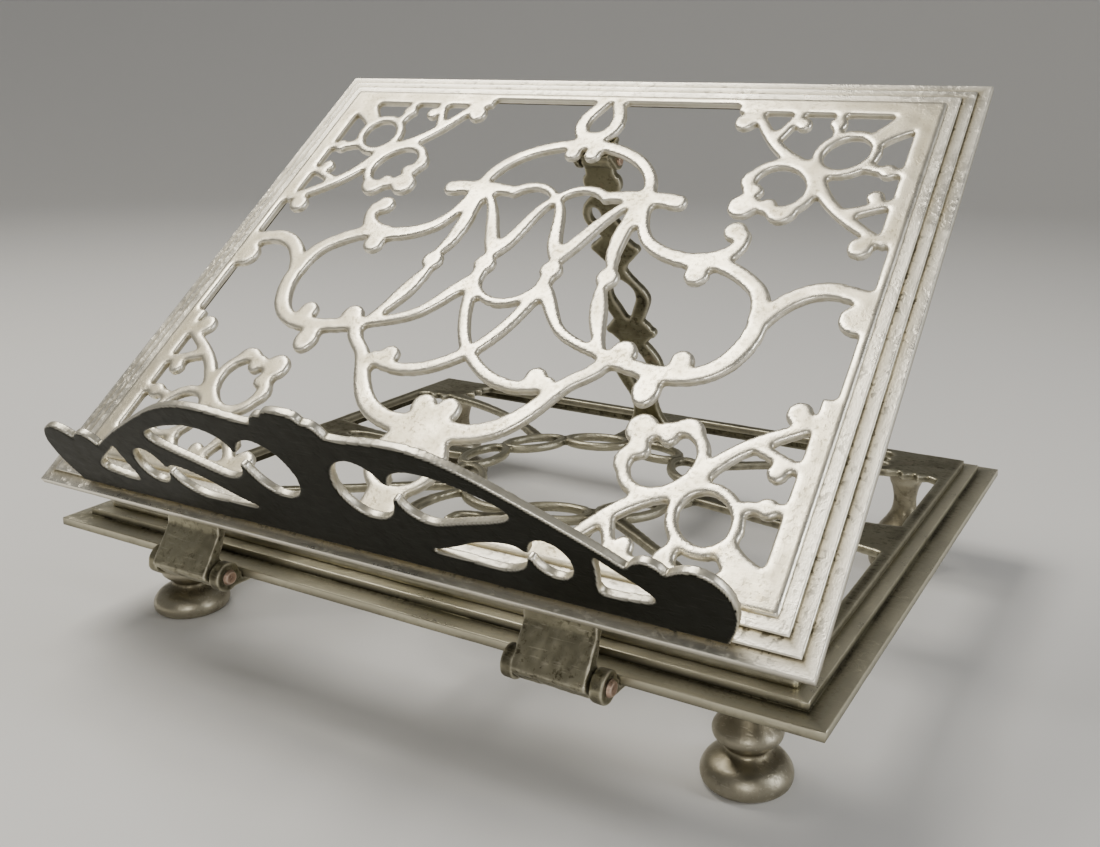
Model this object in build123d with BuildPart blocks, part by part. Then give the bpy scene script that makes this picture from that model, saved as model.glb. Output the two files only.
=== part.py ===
from build123d import *
import math
import os

# A folding lectern for a large book: a pierced brass desk hinged to a pierced base on four
# turned feet, held up by a pierced prop. Millimetres. X runs along the width, the reader
# stands on the -Y side, Z is up and the feet stand on Z = 0.

os.makedirs("parts", exist_ok=True)

# ---------------------------------------------------------------- driving dimensions
BASE_WIDTH = 330.0
BASE_DEPTH = 262.0
BASE_TOP = 44.5             # top of the base's outer flange above the table
BASE_WALL = 3.4             # metal thickness of the base castings
BASE_STEPS = [(0.0, 0.0), (8.0, 3.0), (13.5, 6.0)]      # inset from the edge, rise of each tread
RAIL = 18.5                 # width of the stepped rails, base and desk
STEP_LAP = 2.0              # how far each tread runs on below the next one
RIM = 1.6                   # thin rim round each pierced plate, the inner part of its rail

DESK_WIDTH = 328.0
DESK_LENGTH = 255.0
DESK_WALL = 3.2
DESK_STEPS = [(0.0, 0.0), (5.0, 1.2), (10.0, 2.4), (14.5, 3.6)]
DESK_TILT = 39.4            # degrees above level, resting on the prop
DESK_EDGE = (-9.3, 64.4)    # the desk's front edge: before the base's front edge, above the table
TRACERY = 3.4               # thickness of the pierced plates

HINGE_X = 80.5              # middle of each front hinge
HINGE_AXIS = (-7.0, 43.5)   # hinge axis: before the base's front edge, above the table
KNUCKLE_R = 4.6
LUG_WIDTH = 27.0
EAR_WIDTH = 4.6
PIN_R = 2.0
RUN = 0.06                  # running clearance round the pins
GAP = 0.4                   # side clearance between parts that turn past each other

LEDGE_V = 3.0               # the ledge's front face, up the desk from its front edge
LEDGE_LEAN = 8.0            # degrees that the ledge leans back over the book
LEDGE_WALL = 3.2
LEDGE_HEIGHT = 68.5

FOOT_X = 129.0
FOOT_INSET = 33.0           # from the base's front and back edges
STUD_R = 2.5

PROP_V = 211.0              # prop hinge, up the desk
PROP_N = -8.8               # prop hinge, below the desk's outer flange
PROP_LENGTH = 151.0
PROP_ANGLE = 72.9           # between the prop and the desk's underside
PROP_WALL = 4.0
PROP_PIN_R = 1.6
PROP_BARREL_R = 3.6
PROP_BARREL_HALF = 7.4

# ---------------------------------------------------------------- frames of reference
cos_t = math.cos(math.radians(DESK_TILT))
sin_t = math.sin(math.radians(DESK_TILT))
lean_v = math.sin(math.radians(LEDGE_LEAN))
lean_n = math.cos(math.radians(LEDGE_LEAN))
crest_v = LEDGE_V + LEDGE_HEIGHT * lean_v
crest_n = LEDGE_HEIGHT * lean_n
ledge_reach = -(DESK_EDGE[0] + crest_v * cos_t - crest_n * sin_t)   # crest, before the base
base_front = -(BASE_DEPTH - ledge_reach) / 2        # centres the whole stand on Y = 0
base_back = base_front + BASE_DEPTH

desk_plane = Plane(
    origin=(0, base_front + DESK_EDGE[0], DESK_EDGE[1]),
    x_dir=(1, 0, 0),
    z_dir=(0, -sin_t, cos_t),
)
ledge_plane = Plane(
    origin=desk_plane.from_local_coords(Vector(0, LEDGE_V, 0)),
    x_dir=(1, 0, 0),
    z_dir=desk_plane.y_dir.rotate(Axis.X, -LEDGE_LEAN) * -1,
)
hinge_axis_y = base_front + HINGE_AXIS[0]
hinge_axis_z = HINGE_AXIS[1]

prop_pivot = desk_plane.from_local_coords(Vector(0, PROP_V, PROP_N))
prop_up = (desk_plane.y_dir).rotate(Axis.X, PROP_ANGLE)     # from the foot up to the hinge
prop_plane = Plane(origin=prop_pivot, x_dir=(1, 0, 0), z_dir=prop_up.rotate(Axis.X, -90) * -1)

base_inner_x = BASE_WIDTH / 2 - RAIL
base_low = BASE_TOP + BASE_STEPS[-1][1] - BASE_WALL         # underside of the base's openwork
base_high = BASE_TOP + BASE_STEPS[-1][1]
desk_inner_x = DESK_WIDTH / 2 - RAIL
desk_inner_low = RAIL
desk_inner_high = DESK_LENGTH - RAIL
desk_face = DESK_STEPS[-1][1]                               # top of the desk's openwork


# ---------------------------------------------------------------- drawing helpers
def stroke(points, widths):
    """A cast bar along a smooth line, with its own width at each point and round ends."""
    if len(widths) == 1:
        widths = widths * len(points)
    left = []
    right = []
    last = len(points) - 1
    for i, (x, y) in enumerate(points):
        before = points[max(i - 1, 0)]
        after = points[min(i + 1, last)]
        run = math.hypot(after[0] - before[0], after[1] - before[1])
        nx = -(after[1] - before[1]) / run * widths[i] / 2
        ny = (after[0] - before[0]) / run * widths[i] / 2
        left.append((x + nx, y + ny))
        right.append((x - nx, y - ny))
    with BuildLine() as outline:
        if last == 1:
            Line(left[0], left[1])
            Line(right[0], right[1])
        else:
            Spline(*left)
            Spline(*right)
        Line(left[0], right[0])
        Line(left[-1], right[-1])
    make_face(outline.edges())
    bead(points[0], widths[0] / 2)
    bead(points[-1], widths[-1] / 2)


def bead(centre, radius):
    """A round bead of metal."""
    with Locations(centre):
        Circle(radius)


def oval(centre, across, along, turn=0.0, mode=Mode.ADD):
    """An oval boss or an oval piercing, by its half sizes."""
    with Locations(Location((centre[0], centre[1], 0), (0, 0, turn))):
        Ellipse(across, along, mode=mode)


def arc_points(centre, across, along, start, end, count):
    """Points along part of an ellipse, angles in degrees."""
    step = (end - start) / (count - 1)
    angles = [math.radians(start + step * i) for i in range(count)]
    return [(centre[0] + across * math.cos(a), centre[1] + along * math.sin(a)) for a in angles]


def closed_outline(points, mode=Mode.ADD):
    """A smooth closed outline through its points."""
    with BuildLine() as outline:
        Spline(*points, periodic=True)
    make_face(outline.edges(), mode=mode)


def stepped_rail(plane, width, depth, steps, wall):
    """A mitred rail in rising treads, its outer edge starting at the plane's X axis."""
    for number, (inset, rise) in enumerate(steps):
        inner = RAIL - RIM
        if number + 1 < len(steps):
            inner = steps[number + 1][0] + STEP_LAP
        with BuildSketch(plane.offset(rise - wall)) as tread:
            with Locations((0, depth / 2)):
                Rectangle(width - 2 * inset, depth - 2 * inset)
                Rectangle(width - 2 * inner, depth - 2 * inner, mode=Mode.SUBTRACT)
        extrude(tread.sketch, amount=wall)


def plate_rim(width, depth):
    """The thin rim of a pierced plate, four strips just inside its rail."""
    half = width / 2 - RAIL
    for x in (-half - RIM / 2, half + RIM / 2):
        with Locations((x, depth / 2)):
            Rectangle(RIM, depth - 2 * RAIL + 2 * RIM)
    for y in (RAIL - RIM / 2, depth - RAIL + RIM / 2):
        with Locations((0, y)):
            Rectangle(2 * half, RIM)


def plate_outline(width, depth, mode):
    """The whole outline of a pierced plate, used to cut off bars that run on past it."""
    with Locations((0, depth / 2)):
        Rectangle(width - 2 * RAIL + 2 * RIM, depth - 2 * RAIL + 2 * RIM, mode=mode)


def finish(builder, name):
    """Labels a finished piece and writes its file."""
    builder.part.label = name
    export_step(builder.part, f"parts/{name}.step")


# ---------------------------------------------------------------- base
base_plane = Plane((0, base_front, BASE_TOP))

with BuildPart() as base_frame:
    stepped_rail(base_plane, BASE_WIDTH, BASE_DEPTH, BASE_STEPS, BASE_WALL)
finish(base_frame, "base_frame")

RING_Y = 143.0              # middle of the ring of links, behind the base's front edge
RING_X_R = 52.0
RING_Y_R = 49.0
LINKS = 10
LINK = (16.8, 9.5)          # half length and half width of a link, and of its hole below
LINK_HOLE = (12.4, 5.8)
LEAF = [                    # toothed corner leaf, measured inwards from the rail's inner corner
    (0, 29), (5, 26), (9, 29), (11, 25.5), (16, 29), (18, 25), (23, 27.5), (27.5, 27.5),
    (27.5, 23), (25, 18), (29, 16), (25.5, 11), (29, 9), (26, 5), (29, 0),
]
TONGUE_HALF = 12.0          # bridge that the prop stands on


def base_corner(a, b, front):
    """A point measured inwards from one of the base rail's inner corners."""
    y = RAIL + b if front else BASE_DEPTH - RAIL - b
    return (base_inner_x - a, y)


def ring_point(turn):
    """A point on the ring of links, by its angle in degrees."""
    angle = math.radians(turn)
    return (RING_X_R * math.cos(angle), RING_Y + RING_Y_R * math.sin(angle))


with BuildPart() as base_tracery:
    with BuildSketch(base_plane.offset(base_low - BASE_TOP)):
        for front in (True, False):
            with BuildLine():
                leaf = [base_corner(a, b, front) for a, b in LEAF]
                Polyline(base_corner(0, 0, front), *leaf, close=True)
            make_face()
            leaf_tip = base_corner(24, 24, front)
            stem_end = (42, RING_Y - 41) if front else (44, RING_Y + 36)
            bend = base_corner(50, 44 if front else 32, front)
            stroke([leaf_tip, bend, stem_end], [7, 4.5, 6])
        with BuildLine():
            Polyline(
                (base_inner_x, 121), (base_inner_x - 16, 125), (base_inner_x - 40, 129),
                (RING_X_R + 4, 138), (RING_X_R + 4, 146), (base_inner_x - 40, 144),
                (base_inner_x - 16, 148), (base_inner_x, 151), close=True,
            )
        make_face()
        oval((base_inner_x - 30, 136), 13, 4.2, mode=Mode.SUBTRACT)
        stroke([(30, RING_Y - 42), (38, 84), (37, 68), (22, 55), (0, 49.5)], [4, 4, 4.5, 4.5, 5])
        stroke([(0, 49), (0, 15)], [9])
        stroke([(0, 88), (7, 78), (15, 76), (18, 68)], [4, 4.5, 4, 3])
        stroke([(7, 78), (5, 66), (12, 60)], [4.5, 3.5, 4])
        mirror(about=Plane.YZ)
        with Locations((0, (RING_Y + RING_Y_R + BASE_DEPTH) / 2)):
            Rectangle(2 * TONGUE_HALF, BASE_DEPTH - RING_Y - RING_Y_R)
        for half_sizes, mode in ((LINK, Mode.ADD), (LINK_HOLE, Mode.SUBTRACT)):
            for number in range(LINKS):
                turn = 360 / LINKS * number
                oval(ring_point(turn), *half_sizes, turn=turn + 90, mode=mode)
        plate_rim(BASE_WIDTH, BASE_DEPTH)
        plate_outline(BASE_WIDTH, BASE_DEPTH, Mode.INTERSECT)
    extrude(amount=BASE_WALL)
finish(base_tracery, "base_tracery")

# ---------------------------------------------------------------- turned feet
FOOT_PROFILE = [            # radius and height, from the rim of the disc up to the collar
    (14.2, 0.0), (15.4, 1.6), (15.4, 5.0), (13.2, 8.0), (8.6, 10.6), (7.5, 12.5), (9.3, 14.4),
    (11.6, 16.6), (11.7, 19.4), (8.6, 23.6), (6.0, 28.5), (5.3, 34.0), (6.2, 39.5), (7.8, 43.5),
]
STUD_DEEP = 14.0            # length of the stud inside the foot
foot_y = {"front": base_front + FOOT_INSET, "back": base_back - FOOT_INSET}
foot_x = {"left": -FOOT_X, "right": FOOT_X}
for end, y in foot_y.items():
    for side, x in foot_x.items():
        with BuildPart() as foot:
            with BuildSketch(Plane((x, y, 0), x_dir=(1, 0, 0), z_dir=(0, -1, 0))):
                with BuildLine():
                    Line((0, 0), FOOT_PROFILE[0])
                    Spline(*FOOT_PROFILE)
                    Line(FOOT_PROFILE[-1], (7.8, base_low))
                    Line((7.8, base_low), (0, base_low))
                    Line((0, base_low), (0, 0))
                make_face()
            revolve(axis=Axis((x, y, 0), (0, 0, 1)))
            with Locations((x, y, base_low)):
                Hole(STUD_R + RUN, depth=STUD_DEEP)
        finish(foot, f"foot_{end}_{side}")

stud_low = base_low - STUD_DEEP + GAP
with BuildPart() as foot_studs:
    with BuildSketch(Plane.XY.offset(stud_low)):
        for x in foot_x.values():
            for y in foot_y.values():
                bead((x, y), STUD_R)
    extrude(amount=base_low - stud_low)
finish(foot_studs, "foot_studs")

# ---------------------------------------------------------------- front hinges
flange_low = BASE_TOP - BASE_WALL
bracket_wall = 2.4
bracket_back = 13.0         # how far the hinge plates reach back under the rails
ear_in = LUG_WIDTH / 2 + GAP
ear_out = ear_in + EAR_WIDTH
rivet_r = 1.8
rivet_cap_r = 3.0
rivet_cap = 1.2
cap_taper = 25              # degrees, slope of the small rivet and pin heads
snug = 0.02                 # how much wider a riveted hole is than its rivet
base_rivet_x = (-9.0, 9.0)  # rivets of the hinge plates, from the middle of each hinge
desk_rivet_x = (-8.0, 8.0)
base_rivet_y = 6.5          # behind the base's front edge
desk_rivet_v = 8.6          # up the desk


def side_plane(x):
    """A plane across the stand at a given X, drawn with Y along and Z up."""
    return Plane(origin=(x, 0, 0), x_dir=(0, 1, 0), z_dir=(1, 0, 0))


hinges = {"left": -HINGE_X, "right": HINGE_X}
for side, middle in hinges.items():
    with BuildPart() as base_hinge:
        with BuildSketch(Plane.XY.offset(flange_low - bracket_wall)):
            with Locations((middle, base_front + bracket_back / 2)):
                Rectangle(2 * ear_out, bracket_back)
        extrude(amount=bracket_wall)
        for inner in (middle - ear_out, middle + ear_in):
            with BuildSketch(side_plane(inner)):
                bead((hinge_axis_y, hinge_axis_z), KNUCKLE_R + 0.9)
                with BuildLine():
                    Polyline(
                        (hinge_axis_y, hinge_axis_z + 2), (base_front - GAP, hinge_axis_z),
                        (base_front - GAP, flange_low), (base_front + 5, flange_low),
                        (base_front + 5, flange_low - bracket_wall),
                        (hinge_axis_y, hinge_axis_z - KNUCKLE_R), close=True,
                    )
                make_face()
                with Locations((hinge_axis_y, hinge_axis_z)):
                    Circle(PIN_R + RUN, mode=Mode.SUBTRACT)
            extrude(amount=EAR_WIDTH)
        with Locations(Plane.XY.offset(flange_low)):
            for offset in base_rivet_x:
                with Locations((middle + offset, base_front + base_rivet_y)):
                    Hole(rivet_r + snug, depth=bracket_wall)
    finish(base_hinge, f"base_hinge_{side}")

    with BuildPart() as hinge_pin:
        with BuildSketch(side_plane(middle - ear_out - 0.8)):
            bead((hinge_axis_y, hinge_axis_z), PIN_R)
        extrude(amount=2 * ear_out + 0.8)
        with BuildSketch(side_plane(middle + ear_out)):
            bead((hinge_axis_y, hinge_axis_z), PIN_R + 1.0)
        extrude(amount=1.6, taper=cap_taper)
    finish(hinge_pin, f"hinge_pin_{side}")

with BuildPart() as base_hinge_rivets:
    for middle in hinges.values():
        for offset in base_rivet_x:
            spot = (middle + offset, base_front + base_rivet_y)
            with BuildSketch(Plane.XY.offset(flange_low - bracket_wall)):
                bead(spot, rivet_r)
            extrude(amount=bracket_wall)
            with BuildSketch(Plane.XY.offset(flange_low - bracket_wall)):
                bead(spot, rivet_cap_r)
            extrude(amount=-rivet_cap, taper=30)
finish(base_hinge_rivets, "base_hinge_rivets")

# ---------------------------------------------------------------- desk frame
peg_r = 1.1                 # pegs that fasten the ledge to the desk's front rail
peg_v = 5.1
peg_high = 5.5
peg_x = [-120.0, -60.0, 0.0, 60.0, 120.0]


def peg_circles(radius):
    """The row of ledge pegs, seen along the desk's normal."""
    for x in peg_x:
        bead((x, peg_v), radius)


with BuildPart() as desk_frame:
    stepped_rail(desk_plane, DESK_WIDTH, DESK_LENGTH, DESK_STEPS, DESK_WALL)
    with BuildSketch(desk_plane.offset(-DESK_WALL)):
        peg_circles(peg_r + snug)
    extrude(amount=DESK_WALL + DESK_STEPS[1][1], mode=Mode.SUBTRACT)
finish(desk_frame, "desk_frame")

# The desk's half of each hinge: a plate riveted under the front rail, bent down in front of
# the base into a broad flat lug that ends in the knuckle.
hinge_local = desk_plane.to_local_coords(Vector(0, hinge_axis_y, hinge_axis_z))
axis_local = (hinge_local.Y, hinge_local.Z)
plate_v = 13.0              # back end of the plate, up the desk
lug_root_v = 1.6            # where the lug leaves the plate
desk_under = -DESK_WALL


def desk_side(x):
    """A plane across the desk at a given X, drawn with the desk's length along and its normal up."""
    origin = desk_plane.from_local_coords(Vector(x, 0, 0))
    return Plane(origin=origin, x_dir=desk_plane.y_dir, z_dir=(1, 0, 0))


for side, middle in hinges.items():
    with BuildPart() as desk_hinge:
        with BuildSketch(desk_side(middle - LUG_WIDTH / 2)):
            knuckle_v, knuckle_n = axis_local
            with BuildLine():
                Polyline(
                    (plate_v, desk_under), (plate_v, desk_under - bracket_wall),
                    (lug_root_v + 4.0, desk_under - bracket_wall), (lug_root_v + 1.4, desk_under - 4.5),
                    (knuckle_v + KNUCKLE_R, knuckle_n + 4.4), (knuckle_v + KNUCKLE_R, knuckle_n),
                    (knuckle_v - KNUCKLE_R, knuckle_n), (knuckle_v - KNUCKLE_R - 0.6, knuckle_n + 4.2),
                    (knuckle_v - KNUCKLE_R, knuckle_n + 6.0), (-1.5, desk_under - 3.2),
                    (lug_root_v - 0.6, desk_under), close=True,
                )
            make_face()
            bead(axis_local, KNUCKLE_R)
            with Locations(axis_local):
                Circle(PIN_R + RUN, mode=Mode.SUBTRACT)
        extrude(amount=LUG_WIDTH)
        with Locations(desk_plane.offset(desk_under)):
            for offset in desk_rivet_x:
                with Locations((middle + offset, desk_rivet_v)):
                    Hole(rivet_r + snug, depth=bracket_wall)
    finish(desk_hinge, f"desk_hinge_{side}")

with BuildPart() as desk_hinge_rivets:
    for middle in hinges.values():
        for offset in desk_rivet_x:
            spot = (middle + offset, desk_rivet_v)
            with BuildSketch(desk_plane.offset(desk_under - bracket_wall)):
                bead(spot, rivet_r)
            extrude(amount=bracket_wall)
            with BuildSketch(desk_plane.offset(desk_under - bracket_wall)):
                bead(spot, rivet_cap_r)
            extrude(amount=-rivet_cap, taper=30)
finish(desk_hinge_rivets, "desk_hinge_rivets")

# ---------------------------------------------------------------- desk openwork
BORDER = 4.5                # flat border that thickens the openwork near the corners
BORDER_U = 82.0
BORDER_V = 73.0
LOW_SQUASH = 0.89           # the lower sprays' heights, as a part of the upper ones'
LOW_DROP = 2.7


RING = (28.5, 27.5)         # middles of a spray's ring and of its flower loop
FLOWER = (50.0, 48.0)


def corner_spray(place):
    """Ring, flower loop and side stems of one corner spray, the same on both sides of its diagonal."""
    stroke([place(0, 0), place(8, 8), place(20, 20)], [22, 13, 8])
    oval(place(*RING), 14.2, 12.6, turn=place.turn)
    oval(place(*FLOWER), 14.5, 16.4, turn=place.turn)
    bead(place(62, 59.8), 6.0)
    for flip in (False, True):
        def at(u, v):
            return place(v, u) if flip else place(u, v)
        stroke([at(37, 37), at(55, 28), at(64, 18), at(74, 3)], [6, 5.5, 5, 4])
        stroke([at(60, 19), at(56, 10), at(53, 2)], [5, 4, 4.5])
        bead(at(77, 10.5), 4.6)
        bead(at(51, 11), 3.4)
        stroke([at(34, 20), at(36.5, 9), at(36.5, 2)], [5, 4, 4.5])
        bead(at(36.5, 10), 3.6)
        bead(at(61, 45.5), 6.2)
    oval(place(*RING), 10.0, 8.4, turn=place.turn, mode=Mode.SUBTRACT)
    oval(place(*FLOWER), 9.8, 11.8, turn=place.turn, mode=Mode.SUBTRACT)
    bead(place(59.5, 51), 3.4)
    bead(place(51.5, 58.5), 3.4)


class Corner:
    """Places points measured inwards from one inner corner of the desk's rails."""

    def __init__(self, low):
        self.low = low
        self.turn = 135.0 if low else 45.0

    def plain(self, u, v):
        """A point as measured."""
        y = desk_inner_low + v if self.low else desk_inner_high - v
        return (desk_inner_x - u, y)

    def __call__(self, u, v):
        """A point of the spray. The lower sprays are squatter than the upper ones."""
        if self.low:
            v = max(LOW_SQUASH * v - LOW_DROP, 0.0)
        return self.plain(u, v)


with BuildPart() as desk_tracery:
    with BuildSketch(desk_plane.offset(desk_face - TRACERY)):
        # finial and arch
        stroke([(3, 238), (6.6, 230), (8.6, 222), (6, 215), (0, 212.5)], [5.5, 6, 6.5, 6.5, 7])
        stroke(arc_points((0, 179), 41, 29, 0, 90, 7), [5.5])
        bead((5, 202), 3.8)
        stroke([(24, 177), (41, 178), (56, 176.5)], [5, 6.5, 7.5])
        stroke([(0, 174), (12, 180.5), (23, 176.5)], [3.8, 3.8, 5])
        # the two balusters in the middle and their crossing limbs
        stroke([(34, 173), (27, 163), (22, 153), (16, 142)], [4, 5, 6, 6.5])
        stroke([(1, 173), (7, 161), (10, 151), (15, 142)], [4, 5, 6, 6.5])
        bead((16, 134.5), 4.8)
        stroke([(16, 142), (16, 134), (16, 126)], [4.5, 5.5, 6.5])
        stroke([(16, 126), (26, 114), (33, 106), (44, 100.5), (54, 97.5)], [6.5, 5.5, 4.5, 4, 4])
        stroke([(16, 126), (12, 110), (7.5, 100), (1, 91)], [6.5, 5, 5, 5])
        stroke([(1, 91), (-7, 84.5), (-20, 78.5), (-30, 78), (-40, 81)], [5, 5, 5, 5, 6])
        stroke([(14, 123), (7, 117), (0, 115.5)], [4, 3.6, 4])
        bead((34, 83), 4.4)
        # outer stems
        stroke([(40, 178), (38.5, 161), (39, 147), (41.5, 139)], [7, 6.5, 6, 4])
        bead((42, 133.5), 4.8)
        stroke([(41.5, 139), (42, 127), (44.5, 119), (48.5, 109), (54, 99)], [4, 4.5, 7, 6, 4])
        # scroll, lobe and the arm to the side rail
        stroke(
            [(43, 173), (46, 162), (51, 154.5), (60, 149), (71, 146.5), (81, 147.5), (88, 153), (90, 161)],
            [5, 5, 5.5, 6, 7, 8, 6.5, 5],
        )
        bead((85.5, 163), 4.7)
        bead((77.5, 139.5), 4.9)
        stroke(
            [(80, 147), (90, 144), (98, 139.5), (105, 133), (108, 124), (108.5, 115), (106, 106),
             (100.5, 98), (91, 93), (79, 92.5), (70, 93.5), (57, 96)],
            [7, 6.5, 6.5, 7, 7.5, 7.5, 7.5, 7, 6.5, 6.5, 6, 6],
        )
        stroke(
            [(148, 133.5), (139, 137), (129, 138), (121, 135), (114, 128.5), (109, 120)],
            [9, 7, 7, 7, 7, 7],
        )
        bead((143, 126), 6.5)
        bead((87, 99), 4.5)
        bead((63.5, 99.5), 5.2)
        oval((78.5, 85), 5.2, 7)
        # cup and bottom crown
        stroke(
            [(58, 96), (55, 89), (48, 83), (42, 74), (36.5, 66), (29.5, 59.5), (21, 55.5), (9, 54.5)],
            [7, 6, 6, 6.5, 7, 7.5, 7.5, 9],
        )
        bead((5.5, 63), 5.2)
        mirror(about=Plane.YZ)
        bead((0, 54), 9.5)
        oval((0, 40), 16.5, 15.5)
        stroke([(0, 28), (0, 16)], [16])
        oval((0, 36.5), 10.8, 7.8, mode=Mode.SUBTRACT)
        bead((0, 45), 3.2)
    # corner sprays
    with BuildSketch(desk_plane.offset(desk_face - TRACERY)):
        for low in (True, False):
            place = Corner(low)
            corner_spray(place)
            with Locations(place.plain(BORDER_U / 2, BORDER / 2)):
                Rectangle(BORDER_U, BORDER)
            with Locations(place.plain(BORDER / 2, BORDER_V / 2)):
                Rectangle(BORDER, BORDER_V)
        mirror(about=Plane.YZ)
        plate_rim(DESK_WIDTH, DESK_LENGTH)
    extrude(amount=TRACERY)
    with BuildSketch(desk_plane.offset(desk_face - TRACERY)):
        plate_outline(DESK_WIDTH, DESK_LENGTH, Mode.ADD)
    extrude(amount=TRACERY, mode=Mode.INTERSECT)
finish(desk_tracery, "desk_tracery")

# ---------------------------------------------------------------- book ledge
LEDGE_LOW = 1.7             # the ledge's foot, standing on the second tread
LEDGE_END = 141.0
with BuildPart() as book_ledge:
    with BuildSketch(ledge_plane):
        with BuildLine():
            Line((0, LEDGE_LOW), (LEDGE_END - 3, LEDGE_LOW))
            Line((LEDGE_END - 3, LEDGE_LOW), (LEDGE_END - 1, 6))
            Spline(
                (LEDGE_END - 1, 6), (143.5, 16), (143.2, 25), (139, 31.5), (133, 33.4),
                (127, 31.5), (123.8, 29),
            )
            Spline((123.8, 29), (121.5, 32), (117.5, 33), (113.5, 31), (111, 28))
            Spline(
                (111, 28), (100, 36), (88, 43.5), (76, 50.5), (60, 58.5), (43, 62.2), (28, 61),
                (15.5, 60),
            )
            Spline((15.5, 60), (12.5, 64.5), (8, 65))
            Spline((8, 65), (4.5, 68), (0, LEDGE_HEIGHT), tangents=[(0, 1), (-1, 0)])
            Line((0, LEDGE_HEIGHT), (0, LEDGE_LOW))
        make_face()
        oval((20, 37.5), 11.3, 13.4, turn=-12, mode=Mode.SUBTRACT)
        with BuildLine():
            Polyline((28, 44), (34, 42), (34, 37), (28, 35), close=True)
        make_face(mode=Mode.SUBTRACT)
        closed_outline(
            [(33, 40), (36, 48.5), (44, 51.5), (56, 50.5), (66, 47.5), (76, 41.5), (61, 33.5), (50, 29.6),
             (42.5, 28), (36, 31)],
            mode=Mode.SUBTRACT,
        )
        closed_outline(
            [(37, 13.6), (55, 21.5), (66, 25.5), (75.5, 24.5), (74.5, 18), (69, 13.4), (52, 12.3)],
            mode=Mode.SUBTRACT,
        )
        oval((85, 23.5), 7.2, 8.6, mode=Mode.SUBTRACT)
        with Locations((77, 23)):
            Rectangle(6, 2.6, mode=Mode.SUBTRACT)
        closed_outline(
            [(101.5, 30), (111, 22.5), (117.5, 15), (109, 12.4), (99, 12.8), (100, 21)],
            mode=Mode.SUBTRACT,
        )
        mirror(about=Plane.YZ)
    extrude(amount=-LEDGE_WALL)
    with BuildSketch(desk_plane):
        peg_circles(peg_r + snug)
    extrude(amount=peg_high + 0.2, mode=Mode.SUBTRACT)
finish(book_ledge, "book_ledge")

with BuildPart() as ledge_pegs:
    with BuildSketch(desk_plane.offset(-DESK_WALL)):
        peg_circles(peg_r)
    extrude(amount=DESK_WALL + peg_high)
    with BuildSketch(desk_plane.offset(-DESK_WALL)):
        peg_circles(2 * peg_r)
    extrude(amount=-1.0, taper=cap_taper)
finish(ledge_pegs, "ledge_pegs")

# ---------------------------------------------------------------- prop and its hinge
with BuildPart() as prop:
    with BuildSketch(prop_plane.offset(-PROP_WALL / 2)):
        with BuildLine():
            Line((0, 0), (PROP_BARREL_HALF, 0))
            Line((PROP_BARREL_HALF, 0), (PROP_BARREL_HALF, -7))
            Spline((PROP_BARREL_HALF, -7), (9.4, -9), (9.4, -13), (5.2, -17.5))
            Spline((5.2, -17.5), (10, -20.5), (13.5, -28), (10.5, -35.5), (4.5, -38.5))
            Spline((4.5, -38.5), (9, -41.5), (11.8, -45.5), (8.5, -50.5), (3.6, -57))
            Spline((3.6, -57), (8.5, -63.5), (13.4, -71.5), (11.5, -78), (8, -85))
            Spline((8, -85), (11, -88), (12, -91.5), (10, -95), (6.8, -97.5))
            Spline((6.8, -97.5), (11, -103), (13.6, -109.5), (12.5, -119), (8.5, -128), (6.6, -135))
            Spline((6.6, -135), (8, -142), (13, -PROP_LENGTH))
            Line((13, -PROP_LENGTH), (0, -PROP_LENGTH))
            Line((0, -PROP_LENGTH), (0, 0))
        make_face()
        bead((10.4, -45.4), 2.4)
        bead((11.2, -91.5), 2.4)
        oval((6.6, -28), 3.0, 4.2, mode=Mode.SUBTRACT)
        mirror(about=Plane.YZ)
        closed_outline(
            [(0, -62), (6.4, -71.5), (3.4, -78.5), (0, -84), (-3.4, -78.5), (-6.4, -71.5)],
            mode=Mode.SUBTRACT,
        )
        closed_outline(
            [(0, -101), (5.4, -110), (4.6, -120), (0, -128), (-4.6, -120), (-5.4, -110)],
            mode=Mode.SUBTRACT,
        )
    extrude(amount=PROP_WALL)
    with BuildSketch(side_plane(-PROP_BARREL_HALF)):
        bead((prop_pivot.Y, prop_pivot.Z), PROP_BARREL_R)
    extrude(amount=2 * PROP_BARREL_HALF)
    with BuildSketch(side_plane(-PROP_BARREL_HALF)):
        bead((prop_pivot.Y, prop_pivot.Z), PROP_PIN_R + RUN)
    extrude(amount=2 * PROP_BARREL_HALF, mode=Mode.SUBTRACT)
finish(prop, "prop")

BRACKET_HALF = 10.6         # prop bracket: half width, and its reach along the desk
BRACKET_V = (203.5, 217.0)
bracket_top = desk_face - TRACERY
prop_ear = 2.4
prop_ear_r = 4.2
prop_rivet_v = 208.5
prop_rivet_x = 3.6
with BuildPart() as prop_bracket:
    with BuildSketch(desk_plane.offset(bracket_top - prop_ear)):
        with Locations((0, sum(BRACKET_V) / 2)):
            Rectangle(2 * BRACKET_HALF, BRACKET_V[1] - BRACKET_V[0])
        for x in (-prop_rivet_x, prop_rivet_x):
            with Locations((x, prop_rivet_v)):
                Circle(peg_r + snug, mode=Mode.SUBTRACT)
    extrude(amount=prop_ear)
    for x in (-BRACKET_HALF, BRACKET_HALF - prop_ear):
        with BuildSketch(desk_side(x)):
            bead((PROP_V, PROP_N), prop_ear_r)
            with BuildLine():
                Polyline(
                    (PROP_V - prop_ear_r, PROP_N), (PROP_V - prop_ear_r - 2, bracket_top),
                    (PROP_V + prop_ear_r, bracket_top), (PROP_V + prop_ear_r, PROP_N), close=True,
                )
            make_face()
            with Locations((PROP_V, PROP_N)):
                Circle(PROP_PIN_R + RUN, mode=Mode.SUBTRACT)
        extrude(amount=prop_ear)
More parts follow.
